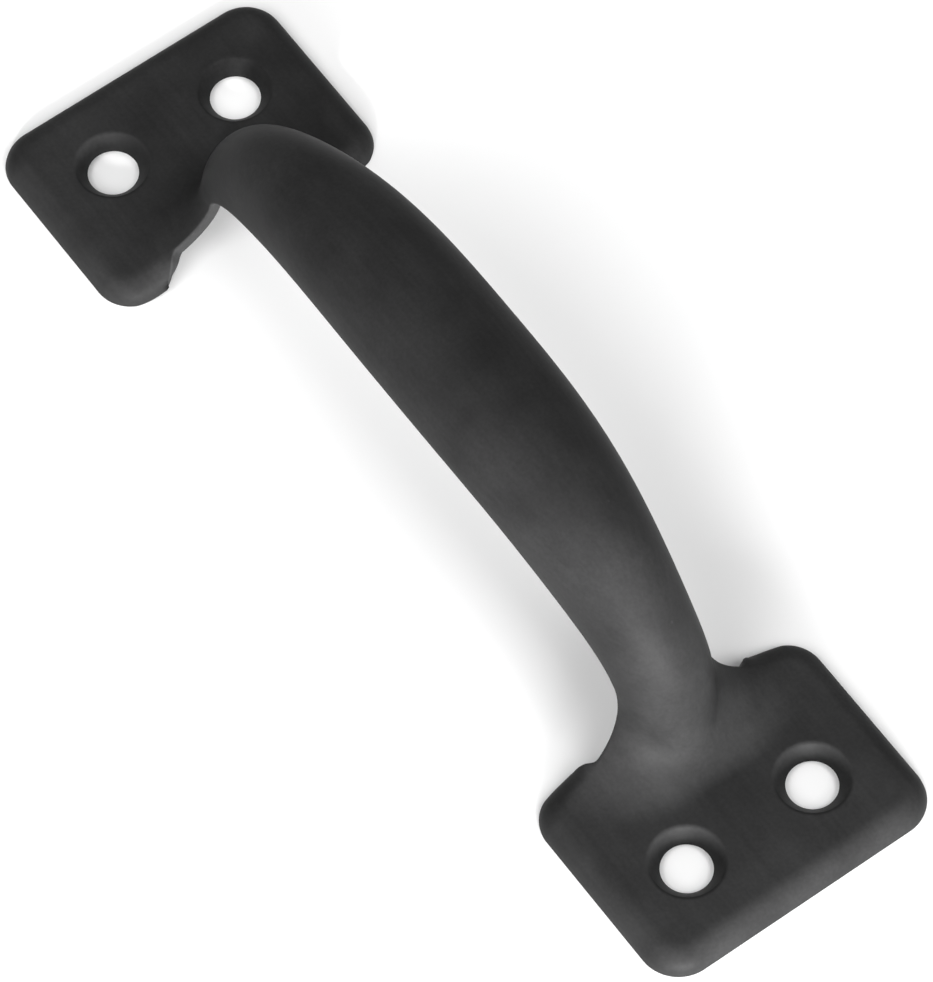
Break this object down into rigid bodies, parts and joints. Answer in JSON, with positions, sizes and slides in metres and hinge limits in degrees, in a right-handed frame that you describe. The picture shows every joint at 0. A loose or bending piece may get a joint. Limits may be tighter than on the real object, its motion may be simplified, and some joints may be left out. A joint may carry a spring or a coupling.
{
  "type": "sash lift handle",
  "caption": "One-piece pressed steel pull: a half-round bow grip between two rounded screw plates with countersunk holes, for lifting a window sash.",
  "frame": {"origin": "middle of the mounting plane, midway between the two plates, where the rolled rims meet the sash", "axes": "+X along the handle, +Y across it, +Z out of the sash towards the hand"},
  "size_m": [0.121, 0.0346, 0.0314],
  "materials": {
    "satin_black_steel": "satin black coating on pressed steel, slightly mottled, with a fine orange-peel texture"
  },
  "bodies": {
    "root": {"pressed_handle": "satin_black_steel"}
  },
  "joints": []
}
